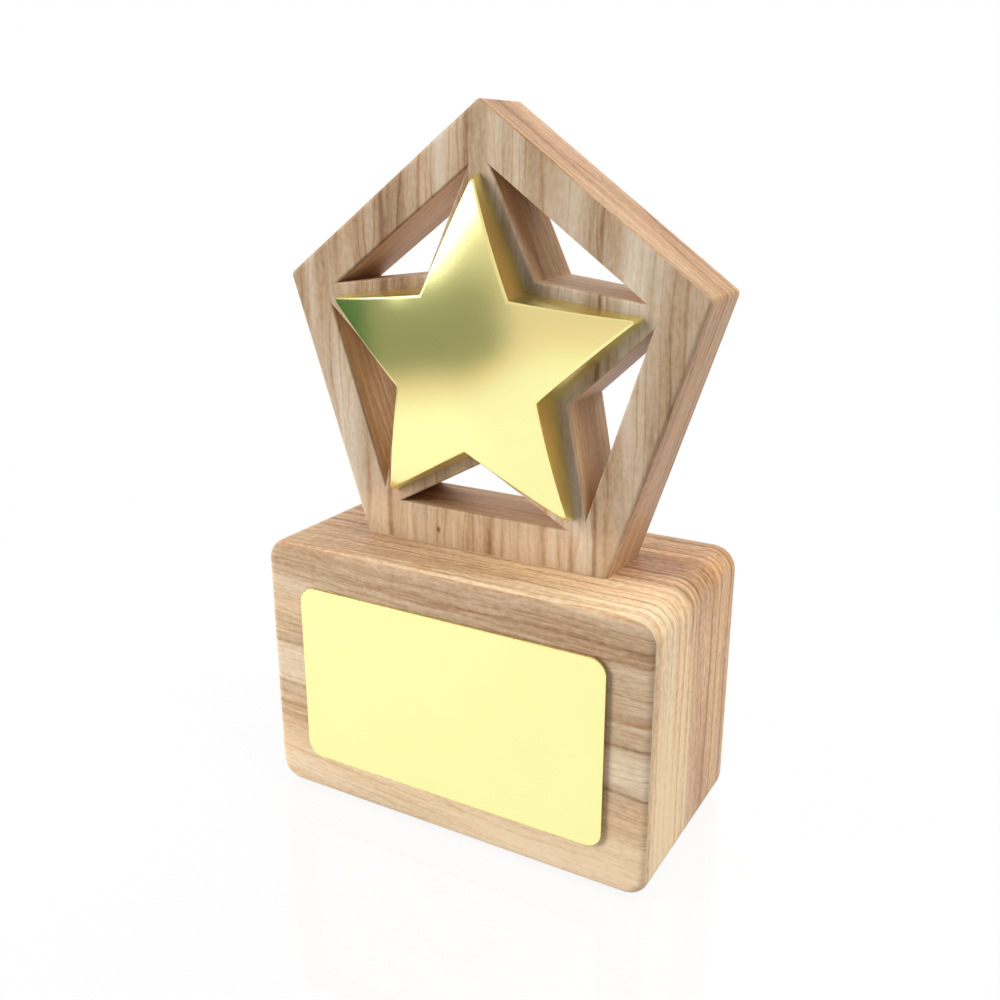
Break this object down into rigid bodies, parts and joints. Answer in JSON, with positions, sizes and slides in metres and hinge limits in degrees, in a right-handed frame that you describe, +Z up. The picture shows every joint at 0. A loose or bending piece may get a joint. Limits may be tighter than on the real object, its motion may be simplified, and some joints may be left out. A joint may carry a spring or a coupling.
{
  "type": "star trophy",
  "caption": "Desk award: a domed gold star on a pierced timber pentagon that stands on a rounded timber block with a bare gold name plate.",
  "frame": {"origin": "middle of the felt's underside, on the surface that the trophy stands on", "axes": "+Z up; +X to the right as seen from the front; the star and the name plate face -Y"},
  "size_m": [0.1026, 0.051, 0.163],
  "materials": {
    "block_timber": "pale open-grained timber under satin lacquer",
    "board_timber": "pale open-grained timber under satin lacquer",
    "star_gold": "polished gold plating on a casting",
    "plate_gold": "bright satin gold sheet",
    "adhesive": "double-sided acrylic sheet",
    "screw_steel": "bright zinc plating",
    "dowel_beech": "plain turned beech",
    "felt": "black wool felt"
  },
  "bodies": {
    "root": {"base_block": "block_timber", "star_frame": "board_timber", "gold_star": "star_gold", "star_screw": "screw_steel", "star_washer": "screw_steel", "name_plate": "plate_gold", "plate_adhesive": "adhesive", "frame_screws": "screw_steel", "frame_washers": "screw_steel", "frame_dowels": "dowel_beech", "felt_pad": "felt"}
  },
  "joints": []
}
